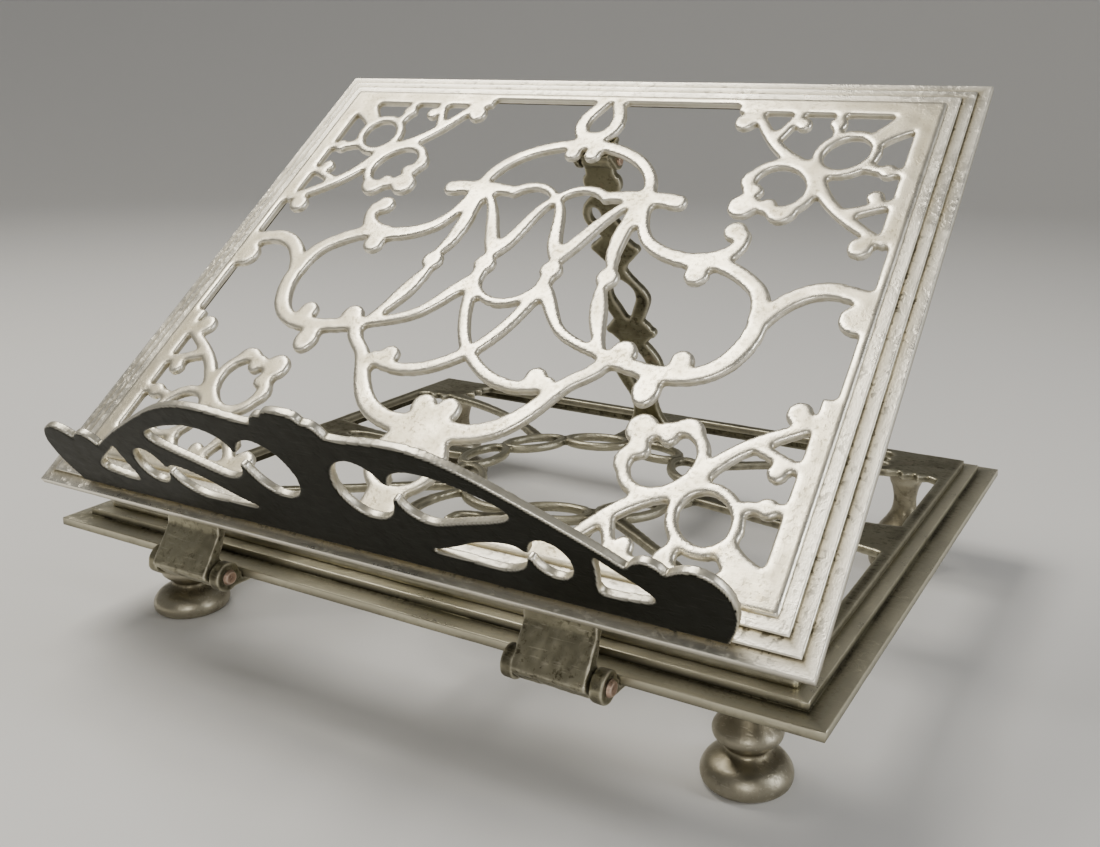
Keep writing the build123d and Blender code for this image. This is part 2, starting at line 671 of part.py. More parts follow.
finish(prop_bracket, "prop_bracket")

with BuildPart() as prop_pin:
    with BuildSketch(side_plane(-BRACKET_HALF - 0.6)):
        bead((prop_pivot.Y, prop_pivot.Z), PROP_PIN_R)
    extrude(amount=2 * BRACKET_HALF + 0.6)
    with BuildSketch(side_plane(BRACKET_HALF)):
        bead((prop_pivot.Y, prop_pivot.Z), PROP_PIN_R + 0.8)
    extrude(amount=1.2, taper=cap_taper)
finish(prop_pin, "prop_pin")

with BuildPart() as prop_bracket_rivets:
    for x in (-prop_rivet_x, prop_rivet_x):
        with BuildSketch(desk_plane.offset(bracket_top - prop_ear)):
            bead((x, prop_rivet_v), peg_r)
        extrude(amount=prop_ear)
        with BuildSketch(desk_plane.offset(bracket_top - prop_ear)):
            bead((x, prop_rivet_v), 2 * peg_r)
        extrude(amount=-0.8, taper=cap_taper)
finish(prop_bracket_rivets, "prop_bracket_rivets")

# The prop's foot stands on the bridge between the ring and the back rail, against a low stop.
foot_reach = prop_up * -PROP_LENGTH
prop_foot_y = prop_pivot.Y + foot_reach.Y
stop_y = prop_foot_y + 5.4
stop_half = (9.5, 2.2)
stop_high = 3.2
stop_rivet_x = 6.0
with BuildPart() as prop_stop:
    with BuildSketch(Plane.XY.offset(base_high)):
        with Locations((0, stop_y)):
            RectangleRounded(2 * stop_half[0], 2 * stop_half[1], 1.6)
        for x in (-stop_rivet_x, stop_rivet_x):
            with Locations((x, stop_y)):
                Circle(peg_r + snug, mode=Mode.SUBTRACT)
    extrude(amount=stop_high)
finish(prop_stop, "prop_stop")

with BuildPart() as prop_stop_rivets:
    with BuildSketch(Plane.XY.offset(base_high)):
        for x in (-stop_rivet_x, stop_rivet_x):
            bead((x, stop_y), peg_r)
    extrude(amount=stop_high)
    with BuildSketch(Plane.XY.offset(base_high + stop_high)):
        for x in (-stop_rivet_x, stop_rivet_x):
            bead((x, stop_y), 1.8 * peg_r)
    extrude(amount=0.8, taper=cap_taper)
finish(prop_stop_rivets, "prop_stop_rivets")
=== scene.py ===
# %% [markdown]
# # A folding brass book stand
# A heavy lectern for a large book: a pierced desk hinged to a pierced base on four turned
# feet, held up by a pierced prop. On the real object every piece is cast in brass, filed,
# and silvered long ago. The silver is bright where hands polish it and nearly gone in the
# corners. The frame of measured solids is loaded first and stays fixed, and each cell below
# gives one piece the soft edges or the finish that a casting has.

# %% Load the frame
import math

import bmesh
import bpy
import numpy as np
from mathutils import Matrix, Vector, noise


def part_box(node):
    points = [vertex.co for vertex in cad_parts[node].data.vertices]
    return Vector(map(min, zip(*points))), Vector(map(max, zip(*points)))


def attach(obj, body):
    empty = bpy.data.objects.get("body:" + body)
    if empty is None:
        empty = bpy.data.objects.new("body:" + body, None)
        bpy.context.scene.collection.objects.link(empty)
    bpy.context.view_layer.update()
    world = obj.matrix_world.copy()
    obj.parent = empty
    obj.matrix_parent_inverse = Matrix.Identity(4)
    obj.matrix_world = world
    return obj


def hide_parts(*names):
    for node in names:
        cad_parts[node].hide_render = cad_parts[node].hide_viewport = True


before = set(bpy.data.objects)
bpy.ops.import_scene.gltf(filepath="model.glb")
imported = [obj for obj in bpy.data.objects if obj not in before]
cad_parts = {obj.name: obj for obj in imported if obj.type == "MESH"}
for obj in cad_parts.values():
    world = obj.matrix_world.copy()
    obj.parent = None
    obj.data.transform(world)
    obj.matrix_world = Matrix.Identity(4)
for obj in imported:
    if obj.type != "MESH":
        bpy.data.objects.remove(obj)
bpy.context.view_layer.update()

MM = 0.001
SCENE = bpy.context.scene

# %% [markdown]
# ## Camera
# A stand like this is shown from the front and a little to one side, from just above the
# desk. A moderate wide lens close to the object gives the strong perspective of a desk-top
# view. The camera is set by three turns and a place, and a small lens shift frames it.

# %% Camera
CAMERA_PLACE = (0.2529, -0.4013, 0.2256)
CAMERA_TURN, CAMERA_DIP, CAMERA_ROLL = (math.radians(a) for a in (27.98, 10.29, -0.76))

camera_data = bpy.data.cameras.new("camera")
camera_data.lens = 37.58
camera_data.shift_x = -0.0664
camera_data.shift_y = -0.1203
camera_data.clip_start = 0.01
camera = bpy.data.objects.new("camera", camera_data)
SCENE.collection.objects.link(camera)
camera.matrix_world = (
    Matrix.Translation(CAMERA_PLACE)
    @ Matrix.Rotation(CAMERA_TURN, 4, "Z")
    @ Matrix.Rotation(math.pi / 2 - CAMERA_DIP, 4, "X")
    @ Matrix.Rotation(-CAMERA_ROLL, 4, "Z")
)
SCENE.camera = camera
print("camera", round(math.degrees(CAMERA_TURN), 1), "degrees round,",
      round(math.degrees(CAMERA_DIP), 1), "degrees down")

# %% [markdown]
# ## Two small helpers for node trees
# Both the finishes and the repeated shapes are node trees. A tree reads more easily as
# sums than as dozens of boxes and wires, so one class wraps a socket: `a * b + 1` adds the
# Math nodes for it. Any other node comes from `Graph.node`.

# %% Node helpers
class Wire:
    """An output socket. Plain arithmetic on it adds Math nodes."""

    def __init__(self, graph, socket):
        self.graph = graph
        self.socket = socket

    def math(self, operation, *values, clamp=False):
        settings = {"operation": operation, "use_clamp": clamp}
        return self.graph.node("ShaderNodeMath", settings, dict(enumerate(values)))

    def __add__(self, other):
        return self.math("ADD", self, other)

    def __sub__(self, other):
        return self.math("SUBTRACT", self, other)

    def __rsub__(self, other):
        return self.math("SUBTRACT", other, self)

    def __mul__(self, other):
        return self.math("MULTIPLY", self, other)

    def __truediv__(self, other):
        return self.math("DIVIDE", self, other)

    __radd__ = __add__
    __rmul__ = __mul__

    def clamped(self):
        return self.math("ADD", self, 0.0, clamp=True)

    def ramp(self, low, high):
        """0 below low, 1 above high, smooth between."""
        return self.graph.node(
            "ShaderNodeMapRange", {"interpolation_type": "SMOOTHSTEP"},
            {"Value": self, "From Min": low, "From Max": high},
        )


class Graph:
    """A node tree that is filled one node at a time."""

    def __init__(self, tree):
        self.tree = tree

    def node(self, kind, settings=None, inputs=None, out=0):
        made = self.tree.nodes.new(kind)
        for key, value in (settings or {}).items():
            setattr(made, key, value)
        for key, value in (inputs or {}).items():
            if isinstance(value, Wire):
                self.tree.links.new(value.socket, made.inputs[key])
            else:
                made.inputs[key].default_value = value
        return Wire(self, made.outputs[out]) if len(made.outputs) else None

    def blend(self, amount, low, high):
        """A colour between two colours."""
        inputs = {0: amount, 6: low, 7: high}
        settings = {"data_type": "RGBA", "clamp_factor": True}
        return self.node("ShaderNodeMix", settings, inputs, out=2)


print("node helpers ready")

# %% [markdown]
# ## Old silvered brass
# The finish is one story told in several strengths: a pale silver skin, darker pits from
# the sand mould, clouds of tarnish, yellow brass where the silver is thin, fine scratches,
# and bright edges where cloths and hands have rubbed. The clouds, pits and scratches are
# noise in three sizes on Object coordinates, so they stay put when the desk folds. The rub
# comes from an attribute that each mesh stores at its vertices, `rub`: 1 on bulging edges.
# The `shade` attribute is painted shade: sides, backs and risers darken to the tarnish colour.

# %% The metal finish
def colour(red, green, blue):
    return (red, green, blue, 1.0)


def old_metal(name, skin, thin, tarnish_and_shade_colour, bright, *, cloud=0.5, pits=0.5, gloss=0.3,
              spread=0.25, scratch=0.5, grain=420.0, relief=0.00016):
    """Worn plated metal. The four colours are the silver skin, the brass under it where it
    is thin, the tarnish in clouds and pits, also used as painted shade, and the rubbed edges."""
    material = bpy.data.materials.new(name)
    material.use_nodes = True
    graph = Graph(material.node_tree)
    shader = material.node_tree.nodes["Principled BSDF"]
    shader.inputs["Metallic"].default_value = 1.0
    place = graph.node("ShaderNodeTexCoord", out="Object")

    def grains(scale, detail, rough=0.55, where=place):
        inputs = {"Vector": where, "Scale": scale, "Detail": detail, "Roughness": rough}
        return graph.node("ShaderNodeTexNoise", None, inputs)

    clouds = grains(26.0, 4.0, 0.6)
    patches = grains(74.0, 3.0, 0.6)
    mottle = grains(grain, 3.0, 0.6)
    fine = grains(grain * 3.2, 2.0)
    pit = mottle.ramp(0.50, 0.66) * (0.35 + 0.65 * patches.ramp(0.40, 0.60))
    rub = graph.node("ShaderNodeAttribute", {"attribute_name": "rub"}, out="Fac")
    shade = graph.node("ShaderNodeAttribute", {"attribute_name": "shade"}, out="Fac")

    lines = []
    for turn, stretch in ((0.5, 14.0), (-1.1, 11.0)):
        turned = graph.node(
            "ShaderNodeMapping", None,
            {"Vector": place, "Rotation": (0.3, turn, turn * 1.7),
             "Scale": (1.0, stretch, stretch)},
        )
        lines.append(grains(95.0, 1.0, where=turned).ramp(0.66, 0.72))
    scratches = (lines[0] + lines[1]).clamped() * scratch

    # Clouds and pits are real tarnish; the shade attribute adds painted shade in the same colour.
    tarnish_and_shade = (clouds.ramp(0.60, 0.40) * cloud + pit * pits + shade).clamped()
    yellow = patches.ramp(0.60, 0.78) * clouds.ramp(0.45, 0.6)
    paint = graph.blend(yellow * 0.7, skin, thin)
    paint = graph.blend(tarnish_and_shade, paint, tarnish_and_shade_colour)
    paint = graph.blend((rub + scratches * 0.35).clamped(), paint, bright)
    rough = gloss + spread * tarnish_and_shade + 0.16 * mottle - 0.10 * rub - 0.05 * scratches
    height = mottle * 0.6 + fine * 0.3 - pit * 0.5 - scratches * 0.3 + clouds * 1.2
    normal = graph.node(
        "ShaderNodeBump", None, {"Strength": 0.8, "Distance": relief, "Height": height},
    )
    results = {"Base Color": paint, "Roughness": rough.clamped(), "Normal": normal}
    for socket, wire in results.items():
        material.node_tree.links.new(wire.socket, shader.inputs[socket])
    return material


silver = old_metal(
    "silvered_openwork", colour(0.80, 0.735, 0.57), colour(0.74, 0.59, 0.30),
    colour(0.30, 0.26, 0.16), colour(0.98, 0.94, 0.82), cloud=0.4, pits=0.3, gloss=0.24,
    scratch=0.3, grain=640.0, relief=0.00008,
)
rail_silver = old_metal(
    "silvered_rail", colour(0.46, 0.41, 0.29), colour(0.43, 0.34, 0.17),
    colour(0.10, 0.085, 0.05), colour(0.98, 0.94, 0.82), cloud=0.5, pits=0.9, gloss=0.28,
    grain=400.0, relief=0.00016, scratch=0.2,
)
print("finishes:", silver.name, rail_silver.name)

# %% [markdown]
# ## Darker finishes
# The base, hinges and prop were never polished, so their silver has gone olive grey with
# brown clouds. The front of the ledge carries painted shade and a painted dark reflection
# that make it almost black, and it is bright only along its edges. Feet and pins are handled
# more and stay browner. They are the same tree with other colours, which keeps every part
# of the stand one family.

# %% Base, ledge, foot and pin finishes
aged = old_metal(
    "aged_brass", colour(0.215, 0.20, 0.13), colour(0.24, 0.16, 0.105),
    colour(0.05, 0.044, 0.026), colour(0.62, 0.585, 0.45), cloud=0.75, pits=0.55, gloss=0.29,
    spread=0.2, grain=520.0, relief=0.00014, scratch=0.3,
)
# Its tarnish colour, nearly black, is painted shade and a painted dark reflection on the front.
ledge_brass = old_metal(
    "ledge_dark_front", colour(0.60, 0.56, 0.44), colour(0.30, 0.24, 0.15),
    colour(0.016, 0.016, 0.011), colour(0.90, 0.87, 0.78), cloud=0.3, pits=0.3, gloss=0.32,
    spread=0.1, grain=300.0, relief=0.00012, scratch=0.04,
)
foot_brass = old_metal(
    "turned_foot", colour(0.33, 0.30, 0.215), colour(0.36, 0.26, 0.14),
    colour(0.10, 0.085, 0.055), colour(0.66, 0.62, 0.50), cloud=0.6, pits=0.4, gloss=0.26,
    spread=0.18, grain=340.0, relief=0.00014,
)
pin_brass = old_metal(
    "pin_copper", colour(0.52, 0.36, 0.27), colour(0.50, 0.38, 0.22),
    colour(0.16, 0.10, 0.07), colour(0.74, 0.60, 0.50), cloud=0.5, pits=0.4, gloss=0.3,
)
lug_brass = old_metal(
    "rough_hinge_lug", colour(0.35, 0.33, 0.235), colour(0.33, 0.25, 0.16),
    colour(0.09, 0.08, 0.05), colour(0.72, 0.68, 0.55), cloud=0.5, pits=0.6, gloss=0.34,
    grain=460.0, relief=0.00025,
)
print("finishes:", [m.name for m in (aged, ledge_brass, foot_brass, pin_brass, lug_brass)])

# %% [markdown]
# ## Reading the frame
# Every piece starts from its measured solid. A solid arrives as loose triangles, so a copy
# is merged before anything else is done to it. The desk lies at an angle, and so do the
# ledge and the prop: work is easier with the piece laid square, so the helper also turns the
# copy about the X axis and tells how to turn it back.

# %% Copies of the measured solids
DESK_TILT = 39.4
LEDGE_TILT = 31.4
PROP_TILT = 22.3


def laid_square(degrees):
    """The turn about X that lays a piece tilted by these degrees square."""
    return Matrix.Rotation(math.radians(-degrees), 4, "X")


def merged(node, turn=Matrix.Identity(4), filled_by=None):
    """A bmesh of a measured solid, merged and turned. A second solid may fill its holes."""
    shape = bmesh.new()
    shape.from_mesh(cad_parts[node].data)
    if filled_by:
        shape.from_mesh(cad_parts[filled_by].data)
    bmesh.ops.remove_doubles(shape, verts=shape.verts, dist=0.002 * MM)
    shape.transform(turn)
    return shape


def as_object(name, shape, material):
    """A new object at the origin from a bmesh, which is freed."""
    mesh = bpy.data.meshes.new(name)
    shape.to_mesh(mesh)
    shape.free()
    mesh.materials.append(material)
    piece = bpy.data.objects.new(name, mesh)
    SCENE.collection.objects.link(piece)
    return piece


def apply_modifiers(piece):
    """Turns the piece's modifiers into plain mesh."""
    evaluated = piece.evaluated_get(bpy.context.evaluated_depsgraph_get())
    mesh = bpy.data.meshes.new_from_object(evaluated)
    piece.modifiers.clear()
    old, piece.data = piece.data, mesh
    mesh.name = piece.name
    bpy.data.meshes.remove(old)
    return piece


desk_low, desk_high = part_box("desk_frame")
print("desk frame from", [round(v / MM, 1) for v in desk_low],
      "to", [round(v / MM, 1) for v in desk_high])

# %% [markdown]
# ## Where the metal is rubbed
# A cloth and a thousand hands reach the bulging edges first. The average of a vertex's
# neighbours lies inside the surface on a bulge and outside it in a hollow, and how far is a
# good measure of how exposed the vertex is. Stored as an attribute, it moves with the piece.

# %% Rubbed edges as an attribute
def vertex_arrays(mesh):
    places = np.empty(len(mesh.vertices) * 3)
    mesh.vertices.foreach_get("co", places)
    normals = np.empty(len(mesh.vertices) * 3)
    mesh.vertices.foreach_get("normal", normals)
    pairs = np.empty(len(mesh.edges) * 2, dtype=int)
    mesh.edges.foreach_get("vertices", pairs)
    return places.reshape(-1, 3), normals.reshape(-1, 3), pairs.reshape(-1, 2)


def neighbour_mean(values, pairs):
    """The mean of each vertex's neighbours."""
    columns = values.reshape(len(values), -1)
    count = np.bincount(pairs.ravel(), minlength=len(values)).clip(1)
    ends = np.concatenate([pairs[:, 0], pairs[:, 1]])
    others = np.concatenate([pairs[:, 1], pairs[:, 0]])
    total = np.stack([np.bincount(ends, column[others], minlength=len(values))
                      for column in columns.T], axis=1)
    return (total / count[:, None]).reshape(values.shape)


def store(mesh, name, values):
    layer = mesh.attributes.new(name, "FLOAT", "POINT")
    layer.data.foreach_set("value", np.asarray(values, dtype=np.float32))


FULL_BULGE = 0.16   # a bulge of this share of an edge's length counts as fully rubbed


def mark_rub(piece, size, strength=1.0, blur=2):
    """Stores rub from 0 on flats to 1 on bulging edges. Size is the mesh's edge length."""
    places, normals, pairs = vertex_arrays(piece.data)
    bulge = -((neighbour_mean(places, pairs) - places) * normals).sum(axis=1)
    rub = (bulge / (FULL_BULGE * size)).clip(0, 1)
    for _ in range(blur):
        rub = 0.5 * rub + 0.5 * neighbour_mean(rub, pairs)
    store(piece.data, "rub", (rub * strength).clip(0, 1))


def mark_shade(piece, toward, dark_back, dark_side):
    """Stores painted shade: 0 on faces towards a direction, more on sides and backs, where shade
    falls.
    """
    _, normals, _ = vertex_arrays(piece.data)
    facing = normals @ np.array(Vector(toward).normalized())
    side = (1.0 - np.abs(facing)).clip(0, 1)
    back = (-facing).clip(0, 1)
    store(piece.data, "shade", dark_side * side + dark_back * back)


def mark_front(piece, toward):
    """Stores full painted shade on faces turned to one direction only, and keeps rub off them."""
    _, normals, _ = vertex_arrays(piece.data)
    facing = normals @ np.array(Vector(toward).normalized())
    front = ((facing - 0.55) / 0.3).clip(0, 1)
    store(piece.data, "shade", front)
    rub = np.empty(len(front), dtype=np.float32)
    piece.data.attributes["rub"].data.foreach_get("value", rub)
    piece.data.attributes["rub"].data.foreach_set("value", (rub * (1 - front)).astype(np.float32))


print("rub and shade markers ready")

# %% [markdown]
# ## Soft castings
# Cast metal has no sharp edges: the sand rounds them and polishing rounds them more. A
# bevel would trip over the tight curves of openwork, so the copy is rebuilt from small
# voxels in its square position, smoothed a little, and turned back. The same helper also
# roughens a surface by a fraction of a millimetre, as hand-filed castings are.

# %% Soft copies
INWARD = 0.3   # filing takes metal away, so the waver goes more inwards than outwards


def soften(shape, name, material, voxel, passes, waver=0.0, wave_size=6.0, swell=0.0):
    """A voxel rebuild of a bmesh with rounded edges. Swell makes good what smoothing eats."""
    piece = as_object(name, shape, material)
    remesh = piece.modifiers.new("remesh", "REMESH")
    remesh.mode = "VOXEL"
    remesh.voxel_size = voxel * MM
    remesh.use_smooth_shade = True
    smooth = piece.modifiers.new("smooth", "SMOOTH")
    smooth.factor = 0.5
    smooth.iterations = passes
    apply_modifiers(piece)
    places, normals, _ = vertex_arrays(piece.data)
    push = np.array([noise.noise(Vector(spot)) - INWARD for spot in places / (wave_size * MM)])
    places += normals * (push * waver + swell)[:, None] * MM
    piece.data.vertices.foreach_set("co", places.ravel())
    piece.data.update()
    mark_rub(piece, voxel * MM)
    return piece


def turn_back(piece, turn):
    """Returns a piece that was laid square to its real place."""
    piece.data.transform(turn.inverted())
    piece.data.update()
    return piece


def hand_over(piece, body, slot, *nodes):
    """Rides on its body and stands for its measured solids."""
    if nodes:
        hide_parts(*nodes)
    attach(piece, body)
    print(piece.name, len(piece.data.polygons), "faces, on", body)


# %% [markdown]
# ## The desk's openwork
# The pierced plate is the show piece: one casting with scrolls in the middle, a spray in
# each corner and the topmost tread of the frame round it. The tread belongs to the same
# flat face, so a thin ring of it is added before the rebuild and the two become one.

# %% Desk openwork
PLATE_THICK = 3.4
RING_LAP = 0.8
DESK_RING = 2.4
desk_turn = laid_square(DESK_TILT)


def bmesh_box(shape):
    places = np.array([v.co for v in shape.verts])
    return places.min(axis=0), places.max(axis=0)


def add_ring(shape, reach):
    """Adds a flat rectangular ring round a plate, as thick as the plate. It stands out beyond
    the plate by the reach and laps it by RING_LAP."""
    low, high = bmesh_box(shape)
    rings = []
    for inset in (-reach * MM, RING_LAP * MM):
        x = high[0] - inset
        near, far = low[1] + inset, high[1] - inset
        corners = [(-x, near), (x, near), (x, far), (-x, far)]
        for z in (high[2], high[2] - PLATE_THICK * MM):
            rings.append([shape.verts.new((u, v, z)) for u, v in corners])
    outer_top, outer_low, inner_top, inner_low = rings
    for i in range(4):
        j = (i + 1) % 4
        shape.faces.new((outer_low[i], outer_low[j], outer_top[j], outer_top[i]))
        shape.faces.new((outer_top[i], outer_top[j], inner_top[j], inner_top[i]))
        shape.faces.new((inner_top[i], inner_top[j], inner_low[j], inner_low[i]))
        shape.faces.new((inner_low[i], inner_low[j], outer_low[j], outer_low[i]))


openwork = merged("desk_tracery", desk_turn)
add_ring(openwork, DESK_RING)
desk_openwork = soften(openwork, "desk_openwork", silver, 0.98, 2, waver=0.08, swell=0.16)
turn_back(desk_openwork, desk_turn)
desk_normal = (0, -math.sin(math.radians(DESK_TILT)), math.cos(math.radians(DESK_TILT)))
# Painted shade: the plate's sides and back are darkened, as shade falls there.
mark_shade(desk_openwork, desk_normal, 0.35, 0.55)
hand_over(desk_openwork, "desk", "silvered_brass", "desk_tracery")

# %% [markdown]
# ## Stepped rails
# Both frames are moulded rails in rising treads, mitred at the corners. A profile swept
# round a rectangle does this, but a plain sweep squeezes the profile at the mitres. So the
# node tree sweeps it round a small square only to get the faces, and then puts every vertex
# where the rule says: so far in from the edge, so high, along that side. A little noise
# makes the edges wander as hand-filed ones do.

# %% Node tree for the rails
def new_tree(name, numbers):
    """An empty geometry tree with named inputs for its sizes."""
    tree = bpy.data.node_groups.new(name, "GeometryNodeTree")
    tree.interface.new_socket("Geometry", in_out="INPUT", socket_type="NodeSocketGeometry")
    for label, value in numbers.items():
        kind = "NodeSocketInt" if isinstance(value, int) else "NodeSocketFloat"
        socket = tree.interface.new_socket(label, in_out="INPUT", socket_type=kind)
        socket.default_value = value
    tree.interface.new_socket("Material", in_out="INPUT", socket_type="NodeSocketMaterial")
    tree.interface.new_socket("Geometry", in_out="OUTPUT", socket_type="NodeSocketGeometry")
    return tree, Graph(tree)


def close_tree(graph, geometry, material):
    """Realizes the instances, sets the material and wires the output."""
    real = graph.node("GeometryNodeRealizeInstances", None, {0: geometry})
    done = graph.node("GeometryNodeSetMaterial", None, {"Geometry": real, "Material": material})
    output = graph.tree.nodes.new("NodeGroupOutput")
    graph.tree.links.new(done.socket, output.inputs["Geometry"])


RAIL_SIZES = {"Width": 0.33, "Length": 0.26, "Softness": 0.00045, "Cuts": 90, "Waver": 0.00022}
RAIL_INWARD = 0.62


def rail_tree():
    tree, graph = new_tree("stepped_rail", RAIL_SIZES)
    given = graph.tree.nodes.new("NodeGroupInput")
    value = {s.name: Wire(graph, s) for s in given.outputs if s.name}

    def named(geometry, label):
        settings = {"data_type": "FLOAT_VECTOR", "domain": "POINT"}
        here = graph.node("GeometryNodeInputPosition")
        return graph.node("GeometryNodeStoreNamedAttribute", settings,
                          {"Geometry": geometry, "Name": label, "Value": here})

    square = graph.node("GeometryNodeCurvePrimitiveQuadrilateral", None,
                        {"Width": 2.0, "Height": 2.0})
    square = graph.node("GeometryNodeSubdivideCurve", None,
                        {"Curve": square, "Cuts": value["Cuts"]})
    profile = graph.node("GeometryNodeMeshToCurve", None, {"Mesh": value["Geometry"]})
    profile = graph.node("GeometryNodeFilletCurve", {"mode": "POLY"},
                         {"Curve": profile, "Count": 2, "Radius": value["Softness"],
                          "Limit Radius": True})
    swept = graph.node("GeometryNodeCurveToMesh", None,
                       {"Curve": named(square, "side"), "Profile Curve": named(profile, "section")})

    def parts(label):
        vector = graph.node("GeometryNodeInputNamedAttribute",
                            {"data_type": "FLOAT_VECTOR"}, {"Name": label})
        return [graph.node("ShaderNodeSeparateXYZ", None, {0: vector}, out=k) for k in range(3)]

    side_x, side_y, _ = parts("side")
    inset, height, _ = parts("section")
    x = side_x * (value["Width"] * 0.5 - inset)
    y = side_y * (value["Length"] * 0.5 - inset) + value["Length"] * 0.5
    spot = graph.node("ShaderNodeCombineXYZ", None, {0: x, 1: y, 2: height})
    placed = graph.node("GeometryNodeSetPosition", None, {"Geometry": swept, "Position": spot})
    wander = graph.node("ShaderNodeTexNoise", None, {"Vector": spot, "Scale": 120.0, "Detail": 3.0})
    push = graph.node("ShaderNodeVectorMath", {"operation": "SCALE"}, {
        0: graph.node("GeometryNodeInputNormal"), "Scale": (wander - RAIL_INWARD) * value["Waver"],
    })
    placed = graph.node("GeometryNodeSetPosition", None, {"Geometry": placed, "Offset": push})
    smooth = graph.node("GeometryNodeSetShadeSmooth", None, {0: placed})
    close_tree(graph, smooth, value["Material"])
    return tree


rail_nodes = rail_tree()
print("rail tree:", len(rail_nodes.nodes), "nodes")

# %% [markdown]
# The profile itself is a short closed line, drawn from the treads' insets and rises: up the
# outer face, over the treads, down the inner face and back along the stepped underside.
# Points on the outer corners of the treads carry `rub`, and the tree carries it along.

# %% Profiles and the two frames
DESK_TREADS = [(0.0, 0.0), (5.0, 1.2), (10.0, 2.4)]
BASE_TREADS = [(0.0, 0.0), (8.0, 3.0)]


def rail_profile(name, treads, inner, wall):
    """A closed line of points (inset, height) in metres, with rub on the exposed corners."""
    points = [((treads[0][0], treads[0][1] - wall), 0.3)]
    for (inset, rise), follower in zip(treads, treads[1:] + [(inner, None)]):
        points.append(((inset, rise), 1.0))
        points.append(((follower[0], rise), 0.0))
    points.append(((inner, treads[-1][1] - wall), 0.0))
    for inset, rise in reversed(treads[1:]):
        lower = treads[treads.index((inset, rise)) - 1][1]
        points.append(((inset + 2.0, rise - wall), 0.0))
        points.append(((inset + 2.0, lower - wall), 0.2))
    mesh = bpy.data.meshes.new(name)
    mesh.from_pydata([(x * MM, y * MM, 0) for (x, y), _ in points],
                     [(i, (i + 1) % len(points)) for i in range(len(points))], [])
    store(mesh, "rub", [rub for _, rub in points])
    piece = bpy.data.objects.new(name, mesh)
    SCENE.collection.objects.link(piece)
    return piece


def grow_nodes(piece, tree, material, **sizes):
    """Runs a geometry tree on a piece and keeps the result as plain mesh."""
    live = piece.modifiers.new(tree.name, "NODES")
    live.node_group = tree
    for item in tree.interface.items_tree:
        if item.in_out == "INPUT" and item.name in sizes:
            live[item.identifier] = sizes[item.name]
        if item.in_out == "INPUT" and item.name == "Material":
            live[item.identifier] = material
    return apply_modifiers(piece)


def outward(mesh):
    """Turns every face of a closed shell outwards."""
    shape = bmesh.new()
    shape.from_mesh(mesh)
    bmesh.ops.recalc_face_normals(shape, faces=shape.faces)
    if shape.calc_volume(signed=True) < 0:
        bmesh.ops.reverse_faces(shape, faces=shape.faces)
    shape.to_mesh(mesh)
    shape.free()


def weighted(piece):
    """Shades wide faces flat and their soft corners round."""
    piece.modifiers.new("weighted", "WEIGHTED_NORMAL").keep_sharp = True
    return apply_modifiers(piece)


def stepped_frame(name, node, treads, inner, wall, tilt, material):
    box_low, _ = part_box(node)
    lean = math.radians(tilt)
    edge = Vector((0, box_low[1], box_low[2] + wall * MM * math.cos(lean)))
    reach = merged(node, laid_square(tilt))
    low, high = bmesh_box(reach)
    reach.free()
    sizes = dict(RAIL_SIZES, Width=float(high[0] - low[0]), Length=float(high[1] - low[1]))
    piece = grow_nodes(rail_profile(name, treads, inner, wall), rail_nodes, material, **sizes)
    for label in ("side", "section"):
        if label in piece.data.attributes:
            piece.data.attributes.remove(piece.data.attributes[label])
    outward(piece.data)
    piece.data.transform(Matrix.Translation(edge) @ Matrix.Rotation(lean, 4, "X"))
    return weighted(piece)


desk_rails = stepped_frame("desk_rails", "desk_frame", DESK_TREADS, inner=17.4, wall=3.2,
                           tilt=DESK_TILT, material=rail_silver)
# Painted shade: the risers and undersides of the treads are darkened, as they lie in shadow.
mark_shade(desk_rails, desk_normal, 0.5, 0.9)
hand_over(desk_rails, "desk", "silvered_brass", "desk_frame")
base_rails = stepped_frame("base_rails", "base_frame", BASE_TREADS, inner=16.4, wall=3.4,
                           tilt=0.0, material=aged)
# Painted shade: the rail's sides and underside are darkened, as they lie in shadow.
mark_shade(base_rails, (0, 0, 1), 0.3, 0.35)
hand_over(base_rails, "base", "aged_brass", "base_frame")

# %% [markdown]
# ## The base's openwork
# The lower plate is plainer: toothed leaves in the corners, two side plates, a ring of ten
# oval links and the bridge that the prop stands on. It gets the same treatment with the
# darker finish.

# %% Base openwork
BASE_RING = 3.4
lower = merged("base_tracery")
add_ring(lower, BASE_RING)
base_openwork = soften(lower, "base_openwork", aged, 0.9, 2, waver=0.12, swell=0.1)
# Painted shade: the plate's sides and underside are darkened, as shade falls there.
mark_shade(base_openwork, (0, 0, 1), 0.3, 0.3)
hand_over(base_openwork, "base", "aged_brass", "base_tracery")

# %% [markdown]
# ## The ring of links
# Ten oval links make a ring in the middle of the base. On the casting they stand a little
# proud of the plate, with round backs like real chain. One link swept from an oval is put
# on ten points of an ellipse, each turned along it, which is just what a node tree repeats.

# %% Node tree for the ring of links
LINK_SIZES = {"Count": 10, "Across": 0.052, "Along": 0.049, "Length": 0.0146, "Width": 0.0077,
              "Bar": 0.0021}


